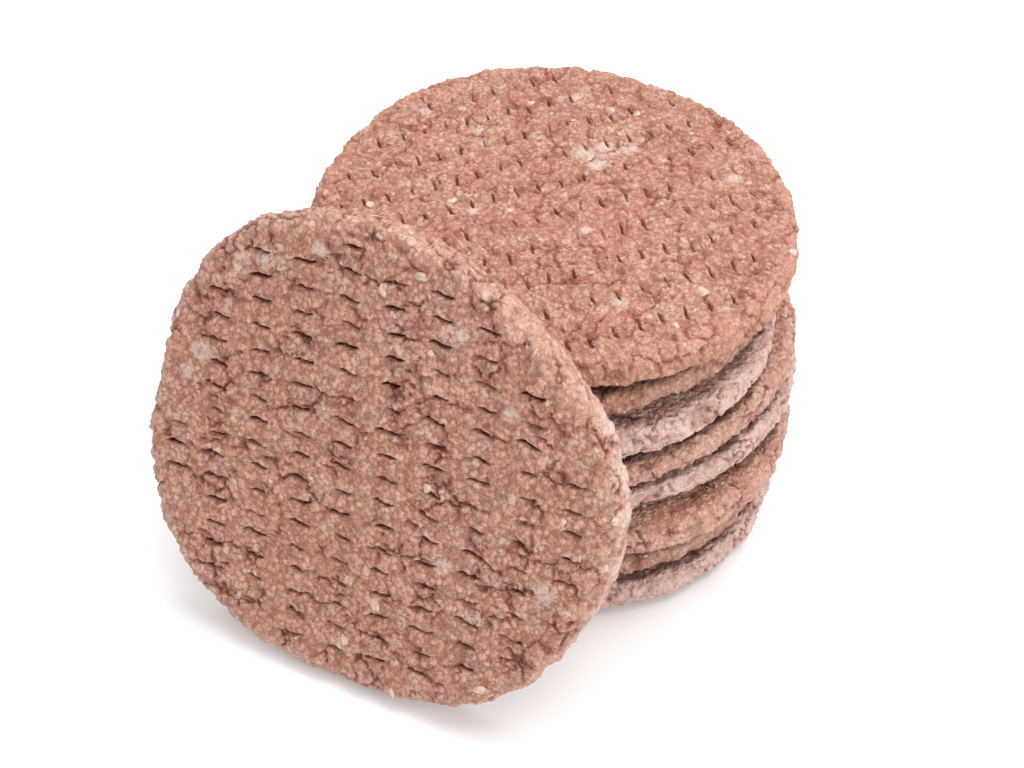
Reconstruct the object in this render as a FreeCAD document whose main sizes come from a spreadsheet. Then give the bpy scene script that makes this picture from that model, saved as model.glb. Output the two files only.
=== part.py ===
"""Pile of round raw ground-meat patties: eight stacked flat and one leaning on its rim.

Units are millimetres.  Z is up.  The origin is the centre of the bottom patty's underside.
Each patty is drawn with its underside on its own XY plane and is then placed in the pile.
"""
import FreeCAD, Part

import math
import os
from collections import namedtuple

Vector = FreeCAD.Vector

SIZES = {
    "patty_radius": 59.0,    # mean radius of every patty
    "patty_thick": 9.9,
    "rim_round": 4.2,        # rounding of both edges of the rim
    "layer_pitch": 10.3,     # underside to underside in the stack
    "slit_long": 4.9,
    "slit_wide": 0.9,
    "slit_deep": 2.6,
    "slit_pitch": 5.8,       # across the slits
    "column_pitch": 11.1,    # along the slits
    "slit_margin": 6.5,      # plain band kept inside the outline
    "lean_heading": 26.5,    # degrees, leaning patty turned about the upright axis
    "lean_back": 18.6,       # degrees, leaning patty tipped back from upright
    "lean_x": -41.2,         # middle of the leaning patty
    "lean_y": -59.8,
    "lean_z": 53.26,
}

# order: number of bulges round the outline (0 is even all round), rise: mm,
# heading: degrees of the first bulge
Wave = namedtuple("Wave", "order rise heading")

# turn: degrees the slit rows are turned, row_shift: fraction of a pitch, x and y: mm off the axis
Patty = namedtuple("Patty", "label rank x y turn row_shift waves")

STACK = [
    Patty("bottom_patty", 0, 0.0, 0.0, 8.0, 0.0,
          [Wave(2, 1.2, -30), Wave(3, 0.5, 50), Wave(5, 0.4, 20)]),
    Patty("second_patty", 1, 0.0, 0.3, 61.0, 0.3,
          [Wave(2, 1.0, 20), Wave(3, 1.0, -50), Wave(4, 0.7, -60)]),
    Patty("third_patty", 2, 2.1, -2.2, 145.0, 0.1,
          [Wave(2, 0.9, -40), Wave(3, 0.6, -40), Wave(5, 0.4, -50)]),
    Patty("fourth_patty", 3, 2.2, 1.2, 97.0, 0.4,
          [Wave(2, 1.2, 20), Wave(3, 0.6, 10), Wave(4, 0.5, -30)]),
    Patty("fifth_patty", 4, 1.8, 0.9, 33.0, 0.2,
          [Wave(2, 1.0, 105), Wave(3, 1.2, 10), Wave(5, 0.3, -15)]),
    Patty("sixth_patty", 5, -3.0, 0.0, 170.0, 0.0,
          [Wave(2, 1.6, -72), Wave(3, 0.8, 75), Wave(4, 0.4, -5)]),
    Patty("seventh_patty", 6, -2.8, 1.9, 78.0, 0.3,
          [Wave(2, 0.6, 20), Wave(3, 0.7, 20), Wave(5, 0.3, -60)]),
    Patty("top_patty", 7, -0.1, 3.2, 112.7, 0.24,
          [Wave(0, 1.0, 0), Wave(2, 1.7, -77), Wave(3, 0.8, -30), Wave(4, 0.3, 29),
           Wave(5, 0.4, 35)]),
]

LEANING = Patty("leaning_patty", None, None, None, 4.0, 0.0,
                [Wave(0, -0.3, 0), Wave(2, 1.2, -9), Wave(3, 1.6, -8), Wave(4, 1.2, 34),
                 Wave(5, 0.4, 9), Wave(6, 0.4, 13)])

OUTLINE_POINTS = 12
ROWS = 12
COLUMNS = 6


# ---------------------------------------------------------------- sizes

def add_sizes(doc):
    """Put every size in a spreadsheet so that the features can refer to it by name."""
    sheet = doc.addObject("Spreadsheet::Sheet", "Sizes")
    for row, (name, value) in enumerate(SIZES.items(), start=1):
        sheet.set(f"A{row}", name)
        sheet.set(f"B{row}", str(value))
        sheet.setAlias(f"B{row}", name)
    doc.recompute()


# ---------------------------------------------------------------- outline

def outline_radius(patty, angle):
    """Radius of the lumpy outline at an angle in radians."""
    radius = SIZES["patty_radius"]
    for wave in patty.waves:
        radius += wave.rise * math.cos(wave.order * (angle - math.radians(wave.heading)))
    return radius


def outline_point(patty, angle):
    radius = outline_radius(patty, angle)
    return Vector(radius * math.cos(angle), radius * math.sin(angle), 0)


def outline_way(patty, angle):
    """Unit vector along the outline at an angle in radians."""
    step = 1e-4
    way = outline_point(patty, angle + step) - outline_point(patty, angle - step)
    return way.normalize()


def arc_leaving(start, way, end):
    """Arc from start to end that leaves along the unit vector way."""
    chord = end - start
    cosine = way.dot(chord) / chord.Length
    sideways = way - chord * (cosine / chord.Length)
    middle = (start + end) * 0.5 + sideways * (chord.Length / (2 * (1 + cosine)))
    return Part.Arc(start, middle, end)


def arc_pair(start, start_way, end, end_way):
    """Two arcs that join two outline points and run smoothly into their neighbours."""
    chord = end - start
    swing = 2 * (1 - start_way.dot(end_way))
    along = chord.dot(start_way + end_way)
    reach = (math.sqrt(along ** 2 + swing * chord.dot(chord)) - along) / swing
    first_corner = start + start_way * reach
    second_corner = end - end_way * reach
    meeting = (first_corner + second_corner) * 0.5
    meeting_way = (second_corner - first_corner).normalize()
    return [arc_leaving(start, start_way, meeting), arc_leaving(meeting, meeting_way, end)]


def outline_arcs(patty):
    """Closed ring of smoothly joined arcs that follows the lumpy outline."""
    angles = [2 * math.pi * i / OUTLINE_POINTS for i in range(OUTLINE_POINTS)]
    points = [outline_point(patty, angle) for angle in angles]
    ways = [outline_way(patty, angle) for angle in angles]
    arcs = []
    for i in range(OUTLINE_POINTS):
        j = (i + 1) % OUTLINE_POINTS
        arcs += arc_pair(points[i], ways[i], points[j], ways[j])
    return arcs


# ---------------------------------------------------------------- slits

def inside_band(patty, point):
    radius = outline_radius(patty, math.atan2(point.y, point.x))
    return point.Length < radius - SIZES["slit_margin"]


def slit_lines(middle, along):
    """Two sides and two round ends of one slit."""
    across = Vector(-along.y, along.x, 0) * (SIZES["slit_wide"] / 2)
    straight = along * ((SIZES["slit_long"] - SIZES["slit_wide"]) / 2)
    tip = along * (SIZES["slit_long"] / 2)
    start = middle - straight
    end = middle + straight
    return [
        Part.LineSegment(start - across, end - across),
        Part.Arc(end - across, middle + tip, end + across),
        Part.LineSegment(end + across, start + across),
        Part.Arc(start + across, middle - tip, start - across),
    ]


def slit_pattern(patty):
    """Every slit of one face: rows and columns that stop short of the rim."""
    turn = math.radians(patty.turn)
    along = Vector(math.cos(turn), math.sin(turn), 0)
    across = Vector(-along.y, along.x, 0)
    half = along * (SIZES["slit_long"] / 2)
    lines = []
    for row in range(-ROWS, ROWS + 1):
        for column in range(-COLUMNS, COLUMNS):
            middle = across * ((row + patty.row_shift) * SIZES["slit_pitch"])
            middle += along * ((column + 0.5) * SIZES["column_pitch"])
            if inside_band(patty, middle - half) and inside_band(patty, middle + half):
                lines += slit_lines(middle, along)
    return lines


# ---------------------------------------------------------------- one patty

def add_sketch(body, name, lines):
    """Sketch on the XY plane of its own body."""
    sketch = body.newObject("Sketcher::SketchObject", name)
    plane = [item for item in body.Origin.OriginFeatures if item.Role == "XY_Plane"][0]
    sketch.AttachmentSupport = [(plane, "")]
    sketch.MapMode = "FlatFace"
    sketch.addGeometry(lines, False)
    return sketch


def rim_edges(shape):
    """Names of the edges that run round the two flat faces."""
    flat = 1e-3
    return [f"Edge{i}" for i, edge in enumerate(shape.Edges, start=1)
            if edge.BoundBox.ZLength < flat]


def add_blank(doc, body, patty):
    """Plain disc with the lumpy outline and a rounded rim."""
    pad = body.newObject("PartDesign::Pad", f"{patty.label}_disc")
    pad.Profile = add_sketch(body, f"{patty.label}_outline", outline_arcs(patty))
    pad.setExpression("Length", "Sizes.patty_thick")
    doc.recompute()
    rim = body.newObject("PartDesign::Fillet", f"{patty.label}_rim")
    rim.Base = (pad, rim_edges(pad.Shape))
    rim.setExpression("Radius", "Sizes.rim_round")


def add_slits(body, patty, face):
    """Blind slits cut into the upper or the under face."""
    sketch = add_sketch(body, f"{patty.label}_{face}_slits", slit_pattern(patty))
    pocket = body.newObject("PartDesign::Pocket", f"{patty.label}_{face}_cut")
    pocket.Profile = sketch
    pocket.setExpression("Length", "Sizes.slit_deep")
    if face == "upper":
        sketch.setExpression("AttachmentOffset.Base.z", "Sizes.patty_thick")
    else:
        pocket.Reversed = True
    body.Tip = pocket


def add_patty(doc, patty):
    """One whole patty, still lying at the origin."""
    body = doc.addObject("PartDesign::Body", patty.label)
    body.Label = patty.label
    add_blank(doc, body, patty)
    add_slits(body, patty, "upper")
    add_slits(body, patty, "under")
    return body


# ---------------------------------------------------------------- the pile

def place_in_stack(body, patty):
    body.Placement = FreeCAD.Placement(Vector(patty.x, patty.y, 0), FreeCAD.Rotation())
    body.setExpression("Placement.Base.z", f"Sizes.layer_pitch * {patty.rank}")


def place_leaning(body):
    """Stand the patty on its rim, turn it and tip it back against the stack."""
    turned = FreeCAD.Rotation(Vector(0, 0, 1), -SIZES["lean_heading"])
    tipped = FreeCAD.Rotation(Vector(1, 0, 0), 90 - SIZES["lean_back"])
    rotation = turned * tipped
    middle = Vector(SIZES["lean_x"], SIZES["lean_y"], SIZES["lean_z"])
    underside = rotation.multVec(Vector(0, 0, -SIZES["patty_thick"] / 2))
    body.Placement = FreeCAD.Placement(middle + underside, rotation)


def check(doc, bodies):
    """Stop if any feature failed or any patty is empty or broken."""
    doc.recompute()
    for item in doc.Objects:
        if "Invalid" in item.State or "Error" in item.State:
            raise RuntimeError(f"{item.Label} did not build: {item.State}")
    for body in bodies:
        if body.Shape.isNull() or not body.Shape.isValid():
            raise RuntimeError(f"{body.Label} has a broken shape")


def main():
    doc = FreeCAD.newDocument("patty_pile")
    add_sizes(doc)
    bodies = []
    for patty in STACK:
        body = add_patty(doc, patty)
        place_in_stack(body, patty)
        bodies.append(body)
    leaning = add_patty(doc, LEANING)
    place_leaning(leaning)
    bodies.append(leaning)
    check(doc, bodies)
    os.makedirs("parts", exist_ok=True)
    for body in bodies:
        body.Shape.exportStep(f"parts/{body.Label}.step")


main()
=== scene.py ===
"""Pile of round raw ground-meat patties: eight in a stack and one leaning on its rim.

Every patty is a closed mesh of its own.  Its outline is read from its CAD solid, its faces
are gridded along the rows of cuts, and one Geometry Nodes tree presses the cuts, the
pillows between them, the grain of the mince and the crumbly rim into it.  Sizes are in
millimetres until a finished mesh is put in its place, in metres.
"""

import logging
import math
from dataclasses import asdict, dataclass, field, fields
from enum import Enum
from typing import Any, Union

import bpy
import numpy as np
from mathutils import Matrix, Vector, geometry


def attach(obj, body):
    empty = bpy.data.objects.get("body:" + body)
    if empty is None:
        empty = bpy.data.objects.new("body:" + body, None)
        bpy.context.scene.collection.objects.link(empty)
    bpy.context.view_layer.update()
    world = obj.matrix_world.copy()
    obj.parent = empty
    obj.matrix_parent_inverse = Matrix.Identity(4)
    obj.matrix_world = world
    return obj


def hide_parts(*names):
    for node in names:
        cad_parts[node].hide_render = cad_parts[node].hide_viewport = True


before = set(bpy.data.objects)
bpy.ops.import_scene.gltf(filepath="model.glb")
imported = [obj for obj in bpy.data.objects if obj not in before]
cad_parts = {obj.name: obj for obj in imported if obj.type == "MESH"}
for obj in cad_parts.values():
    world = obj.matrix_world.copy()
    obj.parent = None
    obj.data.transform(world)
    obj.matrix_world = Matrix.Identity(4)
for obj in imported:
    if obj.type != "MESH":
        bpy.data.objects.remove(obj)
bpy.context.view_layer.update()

log = logging.getLogger("patty_pile")

Colour = tuple[float, float, float]
Socket = bpy.types.NodeSocket
Value = Union[float, int, tuple, str, bool, Socket]

MM = 0.001
THICK = 9.9
LAYER_PITCH = 10.3
ROUND_SAMPLES = 760     # points round a rim
RIM_SAMPLES = 27        # rings from the upper face to the underside
WAVES = 8               # waves that an outline is summed from
BAND = 1.0              # half height of the band an outline is read from
RIM_GAP = 0.45          # from the rim's edge to the first grid points
MERGE = 1e-5            # grid points nearer than this are one
FLARE = 1.5             # how sharply the rim's outward ways turn
SEED_STEP = (37.1, 11.3, 0.0)   # how far the textures move from seed to seed
SEED_GAP = 13.0         # keeps the lumps of two patties from being drawn alike
MID_GREY = (0.5, 0.5, 0.5)      # middle of a noise colour


# ---------------- choices

class Detail(Enum):
    """How closely a face is gridded: offsets across and along one cut, in millimetres."""

    FINE = (
        (-2.9, -2.4, -1.9, -1.4, -1.0, -0.66, -0.38, -0.13,
         0.13, 0.38, 0.66, 1.0, 1.4, 1.9, 2.4),
        (-5.55, -4.85, -4.15, -3.5, -2.95, -2.5, -2.05, -1.4, -0.7, 0.0,
         0.7, 1.4, 2.05, 2.5, 2.95, 3.5, 4.15, 4.85),
    )
    PLAIN = (
        (-2.9, -2.1, -1.3, -0.75, -0.38, -0.12, 0.12, 0.38, 0.75, 1.3, 2.1),
        (-5.55, -4.4, -3.3, -2.6, -2.1, -1.0, 0.0, 1.0, 2.1, 2.6, 3.3, 4.4),
    )


class Tone(Enum):
    """Names of the meat's looks; FINISHES holds the finish of each."""

    ROSY = "rosy"
    WARM = "warm"
    LEANING = "leaning"
    BROWN = "brown"
    PALE = "pale"


# ---------------- node helper

class Graph:
    """Adds, fills and joins the nodes of one tree."""

    def __init__(self, tree: bpy.types.NodeTree) -> None:
        """Start on a node tree, emptied."""
        self.tree = tree
        tree.nodes.clear()

    def feed(self, socket: Socket, value: Value) -> None:
        """Link a socket to an output or set its own value.

        Args:
            socket: The input to fill.
            value: An output socket or a plain value.
        """
        if isinstance(value, Socket):
            self.tree.links.new(value, socket)
        else:
            socket.default_value = value

    def node(self, kind: str, values: dict[Any, Value] | None = None,
             **settings: Any) -> bpy.types.Node:
        """Add one node.

        Args:
            kind: The node's type name.
            values: Input names or numbers, and what goes into them.
            **settings: Properties of the node itself.

        Returns:
            The new node.
        """
        made = self.tree.nodes.new(kind)
        for name, setting in settings.items():
            setattr(made, name, setting)
        for key, value in (values or {}).items():
            self.feed(made.inputs[key], value)
        return made

    def result(self, *about: Any, **settings: Any) -> Socket:
        """Add one node, as node does, and return its first output."""
        return self.node(*about, **settings).outputs[0]

    def maths(self, operation: str, *values: Value) -> Socket:
        """Add a maths node with its inputs in order and return its result."""
        filled = dict(enumerate(values))
        return self.result("ShaderNodeMath", filled, operation=operation)

    def times(self, first: Value, second: Value) -> Socket:
        """Multiply two numbers."""
        return self.maths("MULTIPLY", first, second)

    def plus(self, first: Value, second: Value) -> Socket:
        """Add two numbers."""
        return self.maths("ADD", first, second)

    def minus(self, first: Value, second: Value) -> Socket:
        """Take the second number from the first."""
        return self.maths("SUBTRACT", first, second)

    def over(self, first: Value, second: Value) -> Socket:
        """Divide the first number by the second."""
        return self.maths("DIVIDE", first, second)

    def vector(self, operation: str, *values: Value) -> Socket:
        """Add a vector maths node and return its vector.

        Args:
            operation: The node's operation; for SCALE the second value is the factor.
            *values: Its inputs in order.

        Returns:
            The result socket.
        """
        if operation == "SCALE":
            filled = {0: values[0], "Scale": values[1]}
        else:
            filled = dict(enumerate(values))
        return self.result("ShaderNodeVectorMath", filled, operation=operation)

    def dot(self, first: Value, second: Value) -> Socket:
        """Dot product of two vectors."""
        values = {0: first, 1: second}
        return self.node("ShaderNodeVectorMath", values, operation="DOT_PRODUCT").outputs["Value"]

    def xyz(self, x: Value, y: Value, z: Value) -> Socket:
        """Join three numbers into a vector."""
        return self.result("ShaderNodeCombineXYZ", {0: x, 1: y, 2: z})

    def attribute(self, name: str) -> Socket:
        """Read a number kept on the surface."""
        return self.node("ShaderNodeAttribute", attribute_name=name).outputs["Fac"]

    def split(self, vector: Value) -> Any:
        """Return the three number sockets of a vector."""
        return self.node("ShaderNodeSeparateXYZ", {0: vector}).outputs

    def ramp(self, value: Value, low: float, high: float, start: Value = 0.0,
             end: Value = 1.0, smooth: bool = True) -> Socket:
        """Map a range of values onto another, clamped at both ends.

        Args:
            value: What is mapped.
            low: Where the range starts.
            high: Where the range ends.
            start: Result at the start.
            end: Result at the end.
            smooth: Ease both ends.

        Returns:
            The result socket.
        """
        kind = "SMOOTHSTEP" if smooth else "LINEAR"
        if low > high:
            low, high, start, end = high, low, end, start
        values = {"Value": value, "From Min": low, "From Max": high, "To Min": start, "To Max": end}
        return self.node("ShaderNodeMapRange", values, interpolation_type=kind).outputs["Result"]

    def noise(self, vector: Value, scale: Value, detail: float = 2.0,
              roughness: float = 0.5, distortion: float = 0.0) -> Any:
        """Add a noise texture.

        Args:
            vector: Where it is read.
            scale: Lumps per unit.
            detail: Octaves.
            roughness: Weight of the finer octaves.
            distortion: How much it swirls.

        Returns:
            Its outputs: the value, then the colour.
        """
        values = {"Vector": vector, "Scale": scale, "Detail": detail,
                  "Roughness": roughness, "Distortion": distortion}
        return self.node("ShaderNodeTexNoise", values, noise_dimensions="3D").outputs

    def cells(self, vector: Value, scale: Value, feature: str = "F1") -> Any:
        """Add a cell texture, F1 or DISTANCE_TO_EDGE, and return its outputs."""
        values = {"Vector": vector, "Scale": scale, "Randomness": 1.0}
        return self.node("ShaderNodeTexVoronoi", values, feature=feature).outputs

    def blend(self, factor: Value, first: Value, second: Value) -> Socket:
        """Blend two colours.

        Args:
            factor: Share of the second colour.
            first: Colour below.
            second: Colour above.

        Returns:
            The colour socket.
        """
        mix = self.node("ShaderNodeMix", data_type="RGBA", blend_type="MIX")
        self.feed(mix.inputs[0], factor)
        self.feed(mix.inputs[6], rgba(first))
        self.feed(mix.inputs[7], rgba(second))
        return mix.outputs[2]


def rgba(colour: Value) -> Value:
    """Give a plain colour its fourth number, and leave a socket alone.

    Args:
        colour: A plain colour or a socket.

    Returns:
        What a colour input takes.
    """
    if isinstance(colour, tuple) and len(colour) == 3:
        return (*colour, 1.0)
    return colour


def start_finish(name: str) -> tuple[bpy.types.Material, Graph, Socket]:
    """Start a material.

    Args:
        name: The finish's name.

    Returns:
        The material, its emptied nodes and the place on the piece in millimetres.
    """
    made = bpy.data.materials.new(name)
    made.use_nodes = True
    g = Graph(made.node_tree)
    place = g.node("ShaderNodeTexCoord").outputs["Object"]
    return made, g, g.vector("SCALE", place, 1 / MM)


# ---------------- finishes

@dataclass(frozen=True)
class MeatFinish:
    """Raw minced meat: mottled lean, fat specks, a frosted rim and painted shade in its cuts, dips
    and seams.
    """

    name: str
    lean: Colour
    # dark grains; also the colour of the painted shade in hollows and creases
    deep: Colour
    pale: Colour
    frost: Colour
    rim_frost: float
    # painted shade deep in the cuts and cracks, over the flesh's own dark red-brown
    wound: Colour = (0.050, 0.016, 0.010)
    fat: Colour = (0.74, 0.53, 0.41)
    blood: Colour = (0.36, 0.085, 0.06)
    pink: Colour = (0.70, 0.37, 0.31)
    rime: Colour = (0.67, 0.50, 0.44)
    # painted shade on a face where the next patty lies on it, near the rim
    seam: Colour = (0.07, 0.023, 0.014)
    roughness: float = 0.6
    grains_per_mm: float = 0.78
    bits_per_mm: float = 0.4
    grain_rise: float = 0.0006

    def material(self) -> bpy.types.Material:
        """Build the material.

        Returns:
            The finished material.
        """
        made, g, spot = start_finish(self.name)
        swirl = g.vector("SUBTRACT", g.noise(spot, 0.9, 2.0)[1], MID_GREY)
        bent = g.vector("ADD", spot, g.vector("SCALE", swirl, 1.5))
        grains = g.cells(bent, self.grains_per_mm)
        fine = g.noise(spot, 1.7, 3.0, 0.65)
        colour = self.flesh(g, spot, bent, grains, fine)
        colour = self.frosted(g, spot, colour)
        colour = self.shaded(g, colour)
        height = self.height(g, grains, fine)
        bump = g.result("ShaderNodeBump", {
            "Strength": 0.9, "Distance": self.grain_rise, "Height": height})
        rough = g.ramp(fine[0], 0.3, 0.7, self.roughness - 0.13, self.roughness + 0.12)
        shader = g.result("ShaderNodeBsdfPrincipled", {
            "Base Color": colour, "Roughness": rough, "Normal": bump,
            "IOR": 1.42, "Specular IOR Level": 0.4, "Subsurface Weight": 0.06,
            "Subsurface Radius": (1.0, 0.35, 0.2), "Subsurface Scale": 0.0008,
        })
        g.node("ShaderNodeOutputMaterial", {"Surface": shader})
        return made

    def flesh(self, g: Graph, spot: Value, bent: Value, grains: Any, fine: Any) -> Value:
        """Mottle the lean grain by grain, with redder and creamier bits, painted highlights and
        painted shade.

        Args:
            g: The material's nodes.
            spot: Place in millimetres.
            bent: The same place, swirled a little.
            grains: Outputs of the grain texture.
            fine: Outputs of the fine noise.

        Returns:
            The colour socket.
        """
        patches = g.noise(spot, 0.07, 3.0, 0.55)[0]
        strands = g.noise(spot, 0.28, 4.0, 0.6, 0.8)[0]
        haze = g.noise(g.vector("ADD", spot, (31.0, 17.0, 5.0)), 0.2, 3.0, 0.6)[0]
        chance = g.split(grains["Color"])
        colour = g.blend(g.ramp(strands, 0.38, 0.62, 0.0, 0.95), self.lean, self.pale)
        rosy = tuple(part * gain for part, gain in zip(self.lean, (1.12, 0.84, 0.84)))
        colour = g.blend(g.ramp(patches, 0.45, 0.7, 0.0, 0.6), colour, rosy)
        colour = g.blend(g.ramp(haze, 0.54, 0.7, 0.0, 0.55), colour, self.rime)
        colour = g.blend(g.ramp(chance[0], 0.5, 1.0, 0.0, 0.5, False), colour, self.deep)
        colour = g.blend(g.ramp(chance[1], 0.55, 1.0, 0.0, 0.8, False), colour, self.pale)
        # creamy middles on some grains: partly fat, partly a painted highlight
        fat_and_highlight = g.times(g.ramp(chance[2], 0.72, 0.95), g.ramp(grains["Distance"], 0.55, 0.1))
        colour = g.blend(g.times(fat_and_highlight, 0.45), colour, self.fat)
        bits = g.cells(bent, self.bits_per_mm)
        drawn = g.split(bits["Color"])
        middle = g.ramp(bits["Distance"], 0.55, 0.3)
        for chosen, low, strength, shade in (
                (drawn[0], 0.84, 0.75, self.fat), (drawn[1], 0.86, 0.6, self.blood),
                (drawn[2], 0.80, 0.6, self.pink)):
            bit = g.times(g.ramp(chosen, low, low + 0.05), middle)
            colour = g.blend(g.times(bit, strength), colour, shade)
        # painted shade in the creases between grains
        grain_crease_shade = g.times(g.ramp(grains["Distance"], 0.38, 0.72, 0.0, 0.9),
                         g.ramp(fine[0], 0.7, 0.35, 0.35, 1.0))
        return g.blend(grain_crease_shade, colour, self.deep)

    def frosted(self, g: Graph, spot: Value, colour: Value) -> Value:
        """Dust the rim and the frosted patches.

        Args:
            g: The material's nodes.
            spot: Place in millimetres.
            colour: Colour of the flesh.

        Returns:
            The colour socket.
        """
        rim = g.attribute("rim")
        patch = g.attribute("frost")
        clouds = g.noise(spot, 0.15, 4.0, 0.7)[0]
        dust = g.noise(spot, 1.0, 3.0, 0.7)[0]
        ragged = g.ramp(g.plus(patch, g.times(dust, 1.3)), 0.95, 1.5, 0.0, 0.8)
        cover = g.times(g.ramp(clouds, 0.35, 0.6, 0.35, 1.0),
                        g.ramp(dust, 0.32, 0.58, 0.35, 1.0))
        cover = g.times(cover, g.ramp(rim, 0.1, 0.75, 0.14, self.rim_frost))
        colour = g.blend(cover, colour, self.frost)
        return g.blend(ragged, colour, self.rime)

    def shaded(self, g: Graph, colour: Value) -> Value:
        """Paint shade into the cuts, the hollows and the seams between patties, over redder flesh
        at the cuts.

        Args:
            g: The material's nodes.
            colour: Colour of the dusted flesh.

        Returns:
            The colour socket.
        """
        cut = g.attribute("cut")
        hollow = g.attribute("hollow")
        seam = g.attribute("seam")
        # painted shade in the hollows of the surface
        colour = g.blend(g.ramp(hollow, 0.1, 1.0, 0.0, 0.55), colour, self.deep)
        # painted shade in the seams between patties
        colour = g.blend(g.times(seam, 0.74), colour, self.seam)
        colour = g.blend(g.ramp(cut, 0.0, 0.2, 0.0, 0.38), colour, self.blood)
        # painted shade deep in the cuts and cracks
        return g.blend(g.ramp(cut, 0.08, 0.6), colour, self.wound)

    def height(self, g: Graph, grains: Any, fine: Any) -> Value:
        """Round every grain and roughen it."""
        dome = g.ramp(grains["Distance"], 0.75, 0.0)
        return g.maths("MULTIPLY_ADD", fine[0], 0.7, dome)


@dataclass(frozen=True)
class FatFinish:
    """Flecks of white fat and frost pressed into the surface."""

    name: str = "fat_fleck"
    colour: Colour = (0.66, 0.48, 0.39)
    stained: Colour = (0.50, 0.29, 0.22)

    def material(self) -> bpy.types.Material:
        """Build the material.

        Returns:
            The finished material.
        """
        made, g, spot = start_finish(self.name)
        stain = g.noise(spot, 0.8, 3.0, 0.6)[0]
        colour = g.blend(g.ramp(stain, 0.4, 0.65), self.colour, self.stained)
        bump = g.result("ShaderNodeBump", {
            "Strength": 0.5, "Distance": 0.0002, "Height": g.noise(spot, 2.2, 3.0)[0]})
        shader = g.result("ShaderNodeBsdfPrincipled", {
            "Base Color": colour, "Roughness": 0.45, "Normal": bump,
            "IOR": 1.45, "Subsurface Weight": 0.15,
            "Subsurface Radius": (1.0, 0.7, 0.5), "Subsurface Scale": 0.001,
        })
        g.node("ShaderNodeOutputMaterial", {"Surface": shader})
        return made


@dataclass(frozen=True)
class FloorFinish:
    """Plain pale studio floor."""

    name: str = "studio_floor"
    colour: Colour = (0.93, 0.93, 0.935)

    def material(self) -> bpy.types.Material:
        """Build the material.

        Returns:
            The finished material.
        """
        made = bpy.data.materials.new(self.name)
        made.use_nodes = True
        graph = Graph(made.node_tree)
        shader = graph.result("ShaderNodeBsdfPrincipled", {
            "Base Color": rgba(self.colour), "Roughness": 0.9, "Specular IOR Level": 0.1})
        graph.node("ShaderNodeOutputMaterial", {"Surface": shader})
        return made


FINISHES = {
    Tone.ROSY: MeatFinish("rosy_mince", lean=(0.47, 0.210, 0.150), deep=(0.24, 0.085, 0.055),
                          pale=(0.62, 0.35, 0.26), frost=(0.65, 0.345, 0.24), rim_frost=0.6,
                          wound=(0.17, 0.050, 0.030)),
    Tone.WARM: MeatFinish("warm_mince", lean=(0.50, 0.235, 0.17), deep=(0.23, 0.08, 0.05),
                          pale=(0.66, 0.40, 0.30), frost=(0.68, 0.44, 0.36), rim_frost=0.5),
    Tone.LEANING: MeatFinish("leaning_mince", lean=(0.49, 0.225, 0.16), deep=(0.19, 0.060, 0.036),
                             pale=(0.68, 0.38, 0.285), frost=(0.70, 0.46, 0.37), rim_frost=0.5,
                             wound=(0.045, 0.011, 0.006)),
    Tone.BROWN: MeatFinish("brown_mince", lean=(0.42, 0.19, 0.13), deep=(0.19, 0.065, 0.04),
                           pale=(0.56, 0.32, 0.22), frost=(0.58, 0.38, 0.30), rim_frost=0.3),
    Tone.PALE: MeatFinish("pale_mince", lean=(0.54, 0.31, 0.25), deep=(0.28, 0.12, 0.09),
                          pale=(0.68, 0.45, 0.38), frost=(0.74, 0.54, 0.48), rim_frost=0.85),
}


# ---------------- outline

@dataclass(frozen=True)
class Outline:
    """Lumpy outline of one patty as a sum of smooth waves round its middle."""

    waves: tuple[float, ...]

    @staticmethod
    def terms(angles: np.ndarray) -> np.ndarray:
        """Columns of the waves at some angles.

        Args:
            angles: Angles in radians.

        Returns:
            One row for each angle.
        """
        columns = [np.ones_like(angles)]
        for order in range(1, WAVES + 1):
            columns += [np.cos(order * angles), np.sin(order * angles)]
        return np.stack(columns, axis=1)

    @classmethod
    def of_solid(cls, node: bpy.types.Object, place: Matrix) -> "Outline":
        """Read the outline from the widest band of a CAD solid.

        Args:
            node: The CAD solid.
            place: Where the patty lies, in millimetres.

        Returns:
            The outline.
        """
        points = np.array([vertex.co for vertex in node.data.vertices]) / MM
        back = np.array(place.inverted())
        points = points @ back[:3, :3].T + back[:3, 3]
        band = points[np.abs(points[:, 2] - THICK / 2) < BAND]
        angles = np.arctan2(band[:, 1], band[:, 0])
        radii = np.hypot(band[:, 0], band[:, 1])
        waves = np.linalg.lstsq(cls.terms(angles), radii, rcond=None)[0]
        return cls(tuple(waves))

    def radius(self, angles: np.ndarray) -> np.ndarray:
        """Radii in millimetres at some angles in radians."""
        return self.terms(np.asarray(angles, float)) @ np.array(self.waves)

    def inset(self, points: np.ndarray) -> np.ndarray:
        """How far inside the outline some flat points lie, in millimetres."""
        radii = self.radius(np.arctan2(points[:, 1], points[:, 0]))
        return radii - np.hypot(points[:, 0], points[:, 1])


# ---------------- cuts and surface

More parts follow.
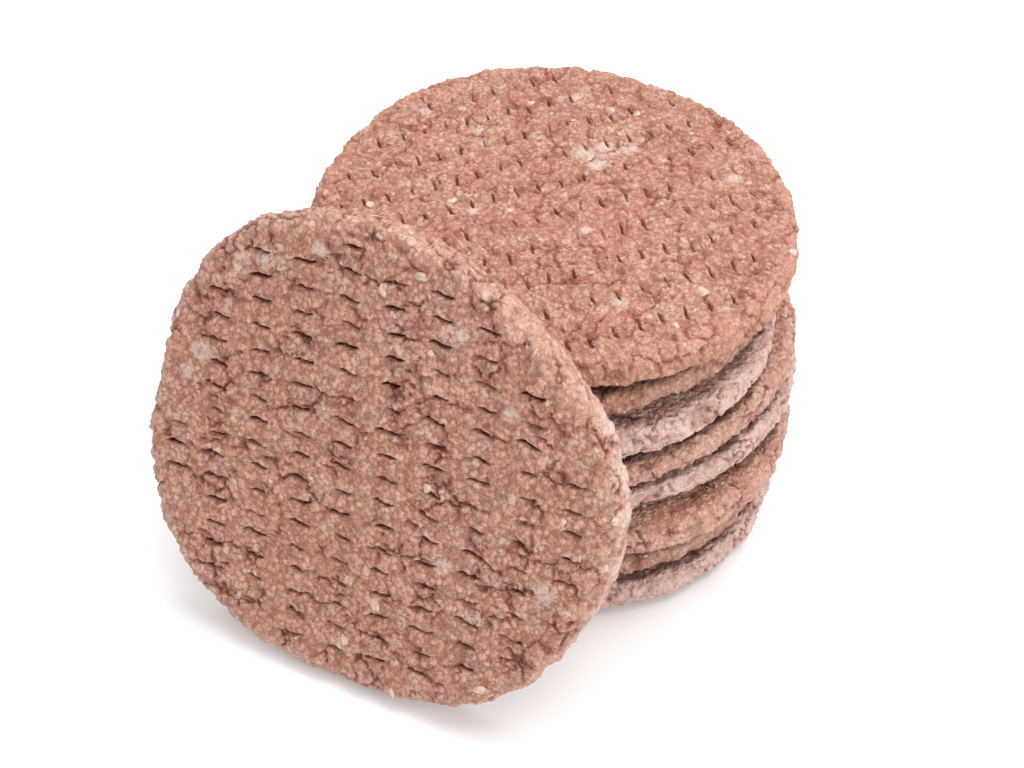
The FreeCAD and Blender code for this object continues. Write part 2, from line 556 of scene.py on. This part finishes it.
@dataclass(frozen=True)
class Scoring:
    """Rows and columns of short cuts in both faces."""

    pitch: float = 5.8
    column_pitch: float = 11.1
    length: float = 5.0
    width: float = 0.48
    depth: float = 1.9
    margin: float = 5.2
    rows: int = 12
    columns: int = 6

    @staticmethod
    def turned(points: np.ndarray, turn: float) -> np.ndarray:
        """Turn flat points by an angle in degrees."""
        cosine, sine = math.cos(math.radians(turn)), math.sin(math.radians(turn))
        return points @ np.array([[cosine, -sine], [sine, cosine]]).T

    def grid(self, detail: Detail, turn: float, shift: float) -> np.ndarray:
        """Grid points that follow the cuts.

        Args:
            detail: How closely they stand.
            turn: Degrees the rows are turned.
            shift: Fraction of a pitch the rows are moved.

        Returns:
            Flat points in the patty's own plane.
        """
        across, along = (np.array(steps) for steps in detail.value)
        rows = (np.arange(-self.rows, self.rows + 1) + shift) * self.pitch
        columns = (np.arange(-self.columns, self.columns) + 0.5) * self.column_pitch
        across = (rows[:, None] + across).ravel()
        along = (columns[:, None] + along).ravel()
        flat = np.stack(np.meshgrid(along, across), axis=-1).reshape(-1, 2)
        return self.turned(flat, turn)

    def scored(self, points: np.ndarray, outline: Outline, turn: float,
               shift: float) -> np.ndarray:
        """Tell which points belong to a cut that is really made.

        Args:
            points: Flat points in the patty's own plane.
            outline: The patty's outline.
            turn: Degrees the rows are turned.
            shift: Fraction of a pitch the rows are moved.

        Returns:
            One for points round a cut and nought elsewhere.
        """
        flat = self.turned(points, -turn)
        column = np.floor(flat[:, 0] / self.column_pitch) + 0.5
        row = np.round(flat[:, 1] / self.pitch - shift) + shift
        middle = np.stack([column * self.column_pitch, row * self.pitch], axis=1)
        half = np.array([self.length / 2, 0.0])
        ends = [outline.inset(self.turned(middle + side * half, turn)) for side in (-1, 1)]
        return (np.minimum(*ends) > self.margin).astype(float)


@dataclass(frozen=True)
class Relief:
    """Heights and sizes that the surface tree presses into a patty."""

    grain_size: float = 1.7
    grain_height: float = 0.5
    lump_size: float = 6.0
    lump_height: float = 0.8
    crack_size: float = 6.5
    crack_depth: float = 0.6
    rim_size: float = 5.0
    rim_height: float = 0.75
    sink: float = 0.38
    wander: float = 0.8
    edge_thinning: float = 0.6


def input_name(field_name: str) -> str:
    """Name of the tree's input that takes a field of Relief."""
    return field_name.replace("_", " ").capitalize()


class SurfaceTree:
    """The Geometry Nodes tree that turns a smooth blank into pressed, scored mince."""

    NUMBERS = (
        "Slit pitch", "Column pitch", "Slit length", "Slit width", "Slit depth", "Turn",
        "Row shift", *(input_name(item.name) for item in fields(Relief)), "Seed",
        "Fleck density", "Crumb density")

    def __init__(self) -> None:
        """Build the tree."""
        self.tree = bpy.data.node_groups.new("pressed_mince", "GeometryNodeTree")
        face = self.tree.interface
        face.new_socket(name="Blank", in_out="INPUT", socket_type="NodeSocketGeometry")
        for name in self.NUMBERS:
            face.new_socket(name=name, in_out="INPUT", socket_type="NodeSocketFloat")
        for name in ("Meat", "Fat"):
            face.new_socket(name=name, in_out="INPUT", socket_type="NodeSocketMaterial")
        face.new_socket(name="Patty", in_out="OUTPUT", socket_type="NodeSocketGeometry")
        self.graph = Graph(self.tree)
        self.given = self.graph.node("NodeGroupInput").outputs
        self.lay_out()

    def named(self, name: str, kind: str = "FLOAT") -> Socket:
        """Read a named attribute of the blank."""
        node = self.graph.node("GeometryNodeInputNamedAttribute", {"Name": name}, data_type=kind)
        return node.outputs["Attribute"]

    def lattice(self) -> None:
        """Find where each point lies round its nearest cut."""
        g, given = self.graph, self.given
        self.spot = g.result("GeometryNodeInputPosition")
        cosine = g.maths("COSINE", given["Turn"])
        sine = g.maths("SINE", given["Turn"])
        self.along_way = g.xyz(cosine, sine, 0.0)
        self.across_way = g.xyz(g.times(sine, -1.0), cosine, 0.0)
        along = g.dot(self.spot, self.along_way)
        across = g.dot(self.spot, self.across_way)
        column = g.maths("FLOOR", g.over(along, given["Column pitch"]))
        rows = g.minus(g.over(across, given["Slit pitch"]), given["Row shift"])
        row = g.maths("ROUND", rows)
        self.along = g.times(given["Column pitch"], g.minus(
            g.minus(g.over(along, given["Column pitch"]), column), 0.5))
        self.across = g.times(given["Slit pitch"], g.minus(rows, row))
        where = g.xyz(row, column, g.plus(given["Seed"], self.named("side")))
        chance = g.node("ShaderNodeTexWhiteNoise", {"Vector": where}, noise_dimensions="3D")
        self.chance = g.split(chance.outputs["Color"])

    def opening(self) -> None:
        """Work out how far each point lies inside a tapered cut."""
        g, given = self.graph, self.given
        half = g.times(given["Slit length"], g.ramp(self.chance[0], 0, 1, 0.38, 0.54, False))
        share = g.over(self.along, half)
        taper = g.maths("MAXIMUM", g.minus(1.0, g.times(share, share)), 0.0)
        lip = g.times(g.maths("POWER", taper, 0.6), g.times(given["Slit width"], 0.5))
        self.away = g.minus(g.maths("ABSOLUTE", self.across), lip)
        ends = g.ramp(g.maths("ABSOLUTE", share), 1.25, 0.85)
        strength = g.ramp(self.chance[1], 0.0, 0.7, 0.45, 1.0)
        broken = g.ramp(g.noise(self.spot, 0.8, 2.0)[0], 0.32, 0.5, 0.35, 1.0)
        made = g.times(g.times(self.named("scored"), ends), g.times(strength, broken))
        self.cut = g.times(made, g.ramp(self.away, 0.32, -0.14))
        beyond = g.maths("MAXIMUM", g.minus(g.maths("ABSOLUTE", share), 1.0), 0.0)
        reach = g.plus(g.maths("MAXIMUM", self.away, 0.0), g.times(beyond, 2.2))
        self.slope = g.times(self.named("scored"),
                             g.maths("EXPONENT", g.times(reach, -1.05)))

    def heights(self) -> None:
        """Add up every height that is pressed into the surface."""
        g, given = self.graph, self.given
        place = g.vector("ADD", self.spot, g.vector("SCALE", SEED_STEP, given["Seed"]))
        inset = self.named("inset")
        self.rim = g.ramp(inset, 5.5, 1.2)
        grain = g.cells(place, g.over(1.0, given["Grain size"]))["Distance"]
        grains = g.times(given["Grain height"], g.ramp(grain, 0.75, 0.05, -0.55, 0.45))
        fine = g.noise(place, 0.75, 2.0)[0]
        fines = g.times(given["Grain height"], g.ramp(fine, 0.3, 0.7, -0.4, 0.4, False))
        lump = g.noise(place, g.over(1.0, given["Lump size"]), 2.0)[0]
        lumps = g.times(given["Lump height"], g.ramp(lump, 0.3, 0.7, -0.85, 0.15, False))
        broken = g.noise(place, g.over(1.0, given["Rim size"]), 3.0, 0.6, 0.6)[0]
        crumbly = g.times(given["Rim height"], g.ramp(broken, 0.32, 0.62, -0.85, 0.3))
        crumbly = g.times(crumbly, self.rim)
        drop = g.times(given["Slit depth"], g.times(self.cut, -1.0))
        swirl = g.vector("SCALE", g.vector("SUBTRACT", g.noise(place, 0.35, 3.0)[1], MID_GREY), 4.5)
        edge = g.cells(g.vector("ADD", place, swirl), g.over(1.0, given["Crack size"]),
                       "DISTANCE_TO_EDGE")["Distance"]
        open_here = g.ramp(g.noise(place, 0.11, 2.0)[0], 0.42, 0.6)
        self.crack = g.times(g.ramp(edge, 0.085, 0.0), open_here)
        cracks = g.times(self.crack, g.times(given["Crack depth"], -1.0))
        sink = g.times(self.slope, g.times(given["Sink"], -1.0))
        tilt = g.times(self.slope, g.ramp(self.across, -0.5, 0.5, -0.16, 0.16))
        grains = g.times(grains, g.ramp(self.rim, 0.0, 1.0, 1.0, 0.6))
        self.body = g.plus(g.plus(grains, fines), g.plus(lumps, crumbly))
        self.body = g.plus(self.body, g.plus(g.plus(sink, tilt), cracks))
        flat = g.ramp(g.maths("ABSOLUTE", self.named("side")), 0.3, 0.95)
        thinned = g.times(g.ramp(inset, 17.0, 6.0), g.times(flat, given["Edge thinning"]))
        self.body = g.maths("MINIMUM", self.body, g.times(self.rim, 0.3))
        self.height = g.minus(g.plus(self.body, drop), thinned)

    def wandering(self) -> Socket:
        """Move the cuts off their even rows and bend them a little.

        Returns:
            The sideways shift of every point.
        """
        g, given = self.graph, self.given
        calm = g.ramp(self.named("inset"), 4.5, 9.0)
        window = g.times(g.ramp(g.maths("ABSOLUTE", self.across), 2.8, 0.6),
                         g.ramp(g.maths("ABSOLUTE", self.along), 5.4, 2.0))
        window = g.times(window, calm)
        lean = g.times(self.along, g.ramp(self.chance[2], 0, 1, -0.13, 0.13, False))
        bend = g.times(g.maths("SINE", g.times(self.along, 1.15)), -0.22)
        jump = g.ramp(self.chance[1], 0, 1, -0.45, 0.45, False)
        across = g.times(window, g.plus(g.plus(lean, bend), jump))
        along = g.times(window, g.ramp(self.chance[0], 0, 1, 0.6, -0.6, False))
        drift = g.noise(self.spot, 0.13, 1.0)[1]
        drift = g.vector("MULTIPLY", g.vector("SUBTRACT", drift, MID_GREY), (2.0, 2.0, 0.0))
        drift = g.vector("SCALE", drift, g.times(given["Wander"], calm))
        shift = g.vector("ADD", g.vector("SCALE", self.across_way, across),
                         g.vector("SCALE", self.along_way, along))
        return g.vector("ADD", shift, drift)

    def store(self, shape: Value, name: str, value: Value) -> Socket:
        """Keep a number on the points for the finish to read."""
        values = {"Geometry": shape, "Name": name, "Value": value}
        return self.graph.result("GeometryNodeStoreNamedAttribute", values, data_type="FLOAT")

    def draw(self, low: float, high: float, seed: int) -> Socket:
        """Draw one number for each lump."""
        values = {2: low, 3: high, "Seed": seed}
        return self.graph.node("FunctionNodeRandomValue", values, data_type="FLOAT").outputs[1]

    def dress(self, shape: Value, finish: Value) -> Socket:
        """Give some geometry its finish."""
        values = {"Geometry": shape, "Material": finish}
        return self.graph.result("GeometryNodeSetMaterial", values)

    def join(self, *parts: Socket) -> Socket:
        """Join some geometry.

        Args:
            *parts: What is joined, in order.

        Returns:
            The joined geometry.
        """
        node = self.graph.node("GeometryNodeJoinGeometry")
        for part in parts:
            self.tree.links.new(part, node.inputs[0])
        return node.outputs[0]

    def scatter(self, shape: Value, density: Value, seed: float, sizes: tuple[float, float],
                squash: float, bed: float) -> Socket:
        """Press small uneven lumps into the upper side and the rim.

        Args:
            shape: The surface they lie on.
            density: Lumps for each square millimetre.
            seed: Random seed, added to the patty's own.
            sizes: Smallest and largest radius.
            squash: Height for each unit of width.
            bed: How deep a lump lies, in lump heights.

        Returns:
            The lumps as plain geometry.
        """
        g, given = self.graph, self.given
        clear = g.times(g.ramp(self.named("side"), -0.5, -0.35),
                        g.ramp(self.named("cut"), 0.12, 0.02))
        spread = g.node("GeometryNodeDistributePointsOnFaces", {
            "Mesh": shape, "Density": g.times(density, clear),
            "Seed": g.plus(g.times(given["Seed"], SEED_GAP), seed)},
            distribute_method="RANDOM")
        ball = g.result("GeometryNodeMeshIcoSphere", {"Radius": 1.0, "Subdivisions": 2})
        at = g.result("GeometryNodeInputPosition")
        knobs = g.vector("SCALE", g.vector("SUBTRACT", g.noise(at, 0.9, 1.0)[1], MID_GREY), 1.1)
        ball = g.result("GeometryNodeSetPosition", {"Geometry": ball, "Offset": knobs})
        size, long, spin = self.draw(*sizes, 3), self.draw(0.8, 1.6, 5), self.draw(0.0, 6.28, 7)
        turned = g.result("FunctionNodeRotateRotation", {
            0: spread.outputs["Rotation"], 1: g.xyz(0.0, 0.0, spin)}, rotation_space="LOCAL")
        scale = g.xyz(g.times(size, long), size, g.times(size, squash))
        placed = g.result("GeometryNodeInstanceOnPoints", {
            "Points": spread.outputs["Points"], "Instance": ball, "Rotation": turned,
            "Scale": scale})
        sunk = g.result("GeometryNodeTranslateInstances", {
            "Instances": placed, "Translation": g.xyz(0.0, 0.0, g.times(size, -squash * bed))})
        return g.result("GeometryNodeRealizeInstances", {"Geometry": sunk})

    def lay_out(self) -> None:
        """Join every step, from the blank to the dressed patty."""
        g, given = self.graph, self.given
        self.lattice()
        self.opening()
        self.heights()
        shape = given["Blank"]
        # painted shade where the surface dips below its own body
        hollow = g.ramp(self.body, -0.25, -1.7)
        ragged = g.ramp(g.noise(self.spot, 0.45, 2.0)[0], 0.3, 0.7, -1.2, 1.2, False)
        flat = g.ramp(g.maths("ABSOLUTE", self.named("side")), 0.5, 0.85)
        # painted shade on the faces where a neighbouring patty lies over or under them, near the
        # rim
        seam = g.times(g.ramp(g.plus(self.named("covered"), ragged), 0.4, 2.2), flat)
        seam = g.times(seam, g.ramp(g.plus(self.named("inset"), ragged), 6.2, 4.2))
        # cracks take part of the cuts' red edge and painted shade
        cut = g.maths("MAXIMUM", self.cut, g.times(self.crack, 0.45))
        for name, value in (("cut", cut), ("hollow", hollow), ("rim", self.rim), ("seam", seam)):
            shape = self.store(shape, name, value)
        push = g.vector("SCALE", self.named("out", "FLOAT_VECTOR"), self.height)
        offset = g.vector("ADD", push, self.wandering())
        shape = g.result("GeometryNodeSetPosition", {"Geometry": shape, "Offset": offset})
        flecks = self.scatter(shape, given["Fleck density"], 1.0, (0.5, 1.5), 0.38, 0.62)
        crumbs = self.scatter(shape, given["Crumb density"], 2.0, (0.3, 0.75), 0.6, 0.5)
        meat = self.dress(self.join(shape, crumbs), given["Meat"])
        whole = self.join(meat, self.dress(flecks, given["Fat"]))
        plain = g.result("GeometryNodeRealizeInstances", {"Geometry": whole})
        soft = g.result("GeometryNodeSetShadeSmooth", {"Geometry": plain, "Shade Smooth": True})
        g.node("NodeGroupOutput", {0: soft})

    def apply(self, blank: bpy.types.Object, values: dict[str, Any]) -> bpy.types.Mesh:
        """Run the tree on a blank.

        Args:
            blank: The smooth patty.
            values: The tree's inputs by name.

        Returns:
            The finished mesh, free of modifiers.
        """
        modifier = blank.modifiers.new("pressed", "NODES")
        modifier.node_group = self.tree
        for item in self.tree.interface.items_tree:
            if item.in_out == "INPUT" and item.name in values:
                modifier[item.identifier] = values[item.name]
        blank.update_tag()
        seen = bpy.context.evaluated_depsgraph_get()
        seen.update()
        mesh = bpy.data.meshes.new_from_object(blank.evaluated_get(seen))
        blank.modifiers.clear()
        return mesh


# ---------------- patties

@dataclass
class Patty:
    """One pressed patty: its place, the turn of its cuts and its look."""

    name: str
    middle: tuple[float, float, float]
    turn: float
    row_shift: float
    seed: int
    tone: Tone
    slot: str = "mince"
    heading: float = 0.0
    tip: float = 0.0
    upper: Detail = Detail.PLAIN
    under: Detail = Detail.PLAIN
    rim_depth: float = 4.3
    fullness: float = 2.9
    fleck_density: float = 0.0012
    crumb_density: float = 0.010
    frost: tuple[tuple[float, float, float, float], ...] = ()
    relief: Relief = field(default_factory=Relief)
    scoring: Scoring = field(default_factory=Scoring)
    above: "Patty | None" = None
    below: "Patty | None" = None

    def place(self) -> Matrix:
        """Work out where the patty lies.

        Returns:
            The place of its own frame, in millimetres, with its underside on XY.
        """
        turned = Matrix.Rotation(math.radians(-self.heading), 4, "Z")
        tipped = Matrix.Rotation(math.radians(self.tip), 4, "X")
        raised = Matrix.Translation((0, 0, -THICK / 2))
        return Matrix.Translation(self.middle) @ turned @ tipped @ raised

    def rim_rings(self, outline: Outline) -> dict[str, np.ndarray]:
        """Sweep the rounded rim from the upper face to the underside.

        Args:
            outline: The patty's outline.

        Returns:
            Points, outward ways, insets and sides, ring after ring.
        """
        angles = np.arange(ROUND_SAMPLES) * (2 * math.pi / ROUND_SAMPLES)
        radii = outline.radius(angles)
        ways = np.stack([np.cos(angles), np.sin(angles)], axis=1)
        bow = np.linspace(math.pi / 2, -math.pi / 2, RIM_SAMPLES)
        power = 2 / self.fullness
        reach = np.cos(bow).clip(0) ** power * self.rim_depth
        rise = np.sign(np.sin(bow)) * np.abs(np.sin(bow)) ** power * THICK / 2
        out = np.stack([(reach / self.rim_depth) ** FLARE / self.rim_depth,
                        np.sign(rise) * np.abs(2 * rise / THICK) ** FLARE / (THICK / 2)], axis=1)
        out /= np.linalg.norm(out, axis=1)[:, None]
        points, normals = [], []
        for step in range(RIM_SAMPLES):
            ring = ways * (radii - self.rim_depth + reach[step])[:, None]
            points.append(np.column_stack([ring, np.full(ROUND_SAMPLES, THICK / 2 + rise[step])]))
            normals.append(np.column_stack([ways * out[step, 0],
                                            np.full(ROUND_SAMPLES, out[step, 1])]))
        return {
            "points": np.concatenate(points),
            "out": np.concatenate(normals),
            "inset": np.repeat(self.rim_depth - reach, ROUND_SAMPLES),
            "side": np.repeat(2 * rise / THICK, ROUND_SAMPLES),
        }

    def face(self, outline: Outline, ring: np.ndarray,
             detail: Detail) -> tuple[np.ndarray, np.ndarray]:
        """Fill one face with triangles that follow the cuts.

        Args:
            outline: The patty's outline.
            ring: The rim's edge, in order.
            detail: How closely the face is gridded.

        Returns:
            The inner points, and triangles that count the ring's points first.
        """
        inner = self.scoring.grid(detail, self.turn, self.row_shift)
        inner = inner[outline.inset(inner) > self.rim_depth + RIM_GAP]
        flat = np.concatenate([ring, inner])
        count = len(ring)
        edges = [(i, (i + 1) % count) for i in range(count)]
        result = geometry.delaunay_2d_cdt([Vector(p) for p in flat], edges, [], 1, MERGE)
        origins = np.array([found[0] for found in result[3]])
        triangles = origins[np.array(result[2])]
        first, second, third = (flat[triangles[:, i]] for i in range(3))
        one, two = second - first, third - first
        wrong = one[:, 0] * two[:, 1] < one[:, 1] * two[:, 0]
        triangles[wrong] = triangles[wrong][:, ::-1]
        return inner, triangles

    def blank(self, outlines: dict[str, Outline]) -> bpy.types.Object:
        """Make the smooth closed patty that the surface is pressed into.

        Args:
            outlines: Every patty's outline.

        Returns:
            The blank, lying in its own frame, in millimetres.
        """
        outline = outlines[self.name]
        rim = self.rim_rings(outline)
        count, rings = ROUND_SAMPLES, RIM_SAMPLES
        faces = []
        for upper in range(0, (rings - 1) * count, count):
            lower = upper + count
            for i in range(count):
                j = (i + 1) % count
                faces.append((upper + i, lower + i, lower + j, upper + j))
        points, out = [rim["points"]], [rim["out"]]
        inset, side = [rim["inset"]], [rim["side"]]
        scored = [np.zeros(len(rim["inset"]))]
        total = count * rings
        for sign, first, detail in ((1, 0, self.upper), (-1, total - count, self.under)):
            ring = rim["points"][first:first + count, :2]
            inner, triangles = self.face(outline, ring, detail)
            number = len(inner)
            lookup = np.concatenate([np.arange(first, first + count),
                                     np.arange(total, total + number)])
            faces += lookup[triangles if sign > 0 else triangles[:, ::-1]].tolist()
            points.append(np.column_stack([inner, np.full(number, THICK if sign > 0 else 0.0)]))
            out.append(np.tile((0.0, 0.0, float(sign)), (number, 1)))
            inset.append(outline.inset(inner))
            side.append(np.full(number, float(sign)))
            scored.append(self.scoring.scored(inner, outline, self.turn, self.row_shift))
            total += number
        mesh = bpy.data.meshes.new(self.name + "_blank")
        mesh.from_pydata(np.concatenate(points).tolist(), [], faces)
        frost = [self.frosting(part) for part in points]
        covered = [self.covering(part, sides, outlines) for part, sides in zip(points, side)]
        for name, parts in (("inset", inset), ("side", side), ("scored", scored), ("frost", frost),
                            ("covered", covered)):
            kept = mesh.attributes.new(name, "FLOAT", "POINT")
            kept.data.foreach_set("value", np.concatenate(parts).astype(np.float32))
        kept = mesh.attributes.new("out", "FLOAT_VECTOR", "POINT")
        kept.data.foreach_set("vector", np.concatenate(out).astype(np.float32).ravel())
        made = bpy.data.objects.new(self.name + "_blank", mesh)
        bpy.context.scene.collection.objects.link(made)
        return made

    def covering(self, points: np.ndarray, sides: np.ndarray,
                 outlines: dict[str, Outline]) -> np.ndarray:
        """How far some points lie under or on the neighbouring patty.

        Args:
            points: Points of the blank.
            sides: One for the upper side, down to minus one for the underside.
            outlines: Every patty's outline.

        Returns:
            Distances inside the neighbour's outline, nought where there is none.
        """
        cover = np.zeros(len(points))
        for neighbour, sign in ((self.above, 1), (self.below, -1)):
            if neighbour is None:
                continue
            shift = np.array(self.middle[:2]) - np.array(neighbour.middle[:2])
            inset = outlines[neighbour.name].inset(points[:, :2] + shift)
            cover = np.where(sides * sign > 0, inset, cover)
        return cover

    def frosting(self, points: np.ndarray) -> np.ndarray:
        """How frosted some points are.

        Args:
            points: Points of the blank.

        Returns:
            One in the middle of a frosted patch, falling to nought round it.
        """
        cover = np.zeros(len(points))
        for *middle, reach in self.frost:
            away = np.linalg.norm(points - np.array(middle), axis=1) / reach
            cover = np.maximum(cover, np.exp(-away ** 2))
        return cover

    def build(self, surface: SurfaceTree, outlines: dict[str, Outline],
              meat: bpy.types.Material, fat: bpy.types.Material) -> bpy.types.Object:
        """Make the finished patty and hand it to its body.

        Args:
            surface: The tree that presses the surface.
            outlines: Every patty's outline.
            meat: Finish of the mince.
            fat: Finish of the flecks.

        Returns:
            The finished piece.
        """
        place = self.place()
        blank = self.blank(outlines)
        cuts = self.scoring
        mesh = surface.apply(blank, {
            "Slit pitch": cuts.pitch, "Column pitch": cuts.column_pitch, "Slit length": cuts.length,
            "Slit width": cuts.width, "Slit depth": cuts.depth, "Turn": math.radians(self.turn),
            "Row shift": self.row_shift, "Seed": float(self.seed),
            "Fleck density": self.fleck_density, "Crumb density": self.crumb_density,
            "Meat": meat, "Fat": fat,
            **{input_name(name): value for name, value in asdict(self.relief).items()},
        })
        bpy.data.objects.remove(blank)
        mesh.transform(Matrix.Diagonal((MM, MM, MM, 1.0)) @ place)
        mesh.name = self.name + "_meat"
        piece = bpy.data.objects.new(self.name + "_meat", mesh)
        bpy.context.scene.collection.objects.link(piece)
        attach(piece, self.name)
        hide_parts(self.name)
        log.info("%s: %d points, %d faces", piece.name, len(mesh.vertices), len(mesh.polygons))
        return piece


@dataclass
class Pile:
    """The whole pile: the stack and the patty that leans on it."""

    stack: list[Patty]
    leaning: Patty

    def build(self) -> list[bpy.types.Object]:
        """Build every patty from the bottom up.

        Returns:
            The finished pieces.
        """
        surface = SurfaceTree()
        fat = FatFinish().material()
        meats = {tone: finish.material() for tone, finish in FINISHES.items()}
        patties = [*self.stack, self.leaning]
        outlines = {patty.name: Outline.of_solid(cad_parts[patty.name], patty.place())
                    for patty in patties}
        for lower, upper in zip(self.stack, self.stack[1:]):
            lower.above, upper.below = upper, lower
        pieces = [patty.build(surface, outlines, meats[patty.tone], fat) for patty in patties]
        bpy.data.node_groups.remove(surface.tree)
        return pieces


def layer(rank: int) -> float:
    """Height of the middle of a stacked patty, counted from nought at the bottom."""
    return rank * LAYER_PITCH + THICK / 2


def make_pile() -> Pile:
    """Set out the nine patties.

    Returns:
        The pile, not yet built.
    """
    stack = [
        Patty("bottom_patty", (0.0, 0.0, layer(0)), 8.0, 0.0, 1, Tone.PALE, "pale_mince"),
        Patty("second_patty", (0.0, 0.3, layer(1)), 61.0, 0.3, 2, Tone.BROWN),
        Patty("third_patty", (2.1, -2.2, layer(2)), 145.0, 0.1, 3, Tone.WARM),
        Patty("fourth_patty", (2.2, 1.2, layer(3)), 97.0, 0.4, 4, Tone.PALE),
        Patty("fifth_patty", (1.8, 0.9, layer(4)), 33.0, 0.2, 5, Tone.WARM),
        Patty("sixth_patty", (-3.0, 0.0, layer(5)), 170.0, 0.0, 6, Tone.PALE, "pale_mince"),
        Patty("seventh_patty", (-2.8, 1.9, layer(6)), 78.0, 0.3, 7, Tone.BROWN),
        Patty("top_patty", (-0.1, 3.2, layer(7)), 112.7, 0.24, 8, Tone.ROSY, upper=Detail.FINE,
              scoring=Scoring(length=4.2, width=0.42, depth=1.0),
              relief=Relief(sink=0.3, edge_thinning=0.4),
              frost=((8.0, 19.0, THICK, 4.0), (13.5, 20.5, THICK, 4.0), (19.0, 21.5, THICK, 3.2),
                     (11.0, 13.5, THICK, 3.0), (-32.0, 38.0, THICK, 2.2), (-18.0, 29.0, THICK, 2.2),
                     (13.9, -39.0, THICK, 2.8), (44.0, 8.0, THICK, 2.6),
                     (7.0, -13.0, THICK, 1.8), (-19.0, -5.0, THICK, 1.8), (6.2, 44.7, THICK, 2.0))),
    ]
    leaning = Patty(
        "leaning_patty", (-41.2, -59.8, 53.26), 4.0, 0.0, 9, Tone.LEANING,
        heading=26.5, tip=71.4, upper=Detail.FINE, relief=Relief(edge_thinning=0.0),
        frost=((21.6, -14.7, THICK, 3.0), (46.4, -12.5, THICK, 3.2), (4.9, 31.7, THICK, 1.5),
               (18.6, 39.8, THICK, 2.2), (-16.4, 49.0, THICK, 2.4), (-29.6, 43.3, THICK, 3.0),
               (-36.0, 42.0, THICK, 2.2), (32.3, 26.3, THICK, 2.2), (-44.3, 16.5, THICK, 3.2),
               (-47.9, 10.3, THICK, 2.6), (54.0, 29.5, 2.8, 6.2), (58.2, 19.4, 2.8, 6.6),
               (60.7, 9.2, 2.8, 6.6), (61.2, -2.0, 2.8, 6.6), (59.7, -13.3, 2.8, 6.6),
               (56.0, -24.5, 2.8, 6.0), (48.8, 37.6, 3.5, 5.0),
               (41.0, 44.0, 3.5, 3.6), (24.0, 52.0, THICK, 3.0), (33.0, 47.5, 7.0, 2.6)))
    return Pile(stack, leaning)


# ---------------- studio

@dataclass(frozen=True)
class Studio:
    """Pale floor, soft light and the camera."""

    stand: tuple[float, float, float] = (-0.0102, -0.3362, 0.3272)
    aim: tuple[float, float, float] = (-0.0102, 0.0, 0.0246)
    lens: float = 61.15
    sensor: float = 36.0
    nearest: float = 0.01
    farthest: float = 20.0
    lit: tuple[float, float, float] = (0.0, 0.0, 0.04)
    glow: float = 0.86
    floor_half: float = 30.0
    floor_drop: float = 0.0004

    def lamp(self, name: str, power: float, size: float, where: tuple[float, float, float]) -> None:
        """Hang one soft square lamp that faces the pile.

        Args:
            name: The lamp's name.
            power: Its power in watts.
            size: Its side in metres.
            where: Its place in metres.
        """
        light = bpy.data.lights.new(name, "AREA")
        light.energy, light.size = power, size
        lamp = bpy.data.objects.new(name, light)
        lamp.location = where
        away = Vector(where) - Vector(self.lit)
        lamp.rotation_euler = away.to_track_quat("Z", "Y").to_euler()
        bpy.context.scene.collection.objects.link(lamp)

    def floor(self) -> None:
        """Lay the floor a hair below the pile."""
        mesh = bpy.data.meshes.new("floor")
        half = self.floor_half
        corners = [(x * half, y * half, -self.floor_drop)
                   for x, y in ((-1, -1), (1, -1), (1, 1), (-1, 1))]
        mesh.from_pydata(corners, [], [(0, 1, 2, 3)])
        mesh.materials.append(FloorFinish().material())
        floor = bpy.data.objects.new("floor", mesh)
        bpy.context.scene.collection.objects.link(floor)

    def camera(self) -> None:
        """Set up the camera."""
        data = bpy.data.cameras.new("camera")
        data.lens, data.sensor_width = self.lens, self.sensor
        data.clip_start, data.clip_end = self.nearest, self.farthest
        camera = bpy.data.objects.new("camera", data)
        camera.location = self.stand
        ahead = Vector(self.aim) - Vector(self.stand)
        camera.rotation_euler = ahead.to_track_quat("-Z", "Y").to_euler()
        bpy.context.scene.collection.objects.link(camera)
        bpy.context.scene.camera = camera

    def build(self) -> None:
        """Set up everything round the pile."""
        self.camera()
        self.floor()
        self.lamp("overhead", 8.2, 0.8, (0.25, 0.15, 1.0))
        self.lamp("front", 5.2, 0.7, (0.65, -0.85, 0.55))
        world = bpy.data.worlds.new("studio")
        world.use_nodes = True
        graph = Graph(world.node_tree)
        glow = graph.result("ShaderNodeBackground", {
            "Color": (1.0, 1.0, 1.0, 1.0), "Strength": self.glow})
        graph.node("ShaderNodeOutputWorld", {"Surface": glow})
        scene = bpy.context.scene
        scene.world = world
        scene.view_settings.view_transform = "Standard"


def main() -> None:
    """Build the studio and the pile."""
    logging.basicConfig(level=logging.INFO, format="%(name)s: %(message)s")
    Studio().build()
    pieces = make_pile().build()
    log.info("%d patties built", len(pieces))


if __name__ == "__main__":
    main()
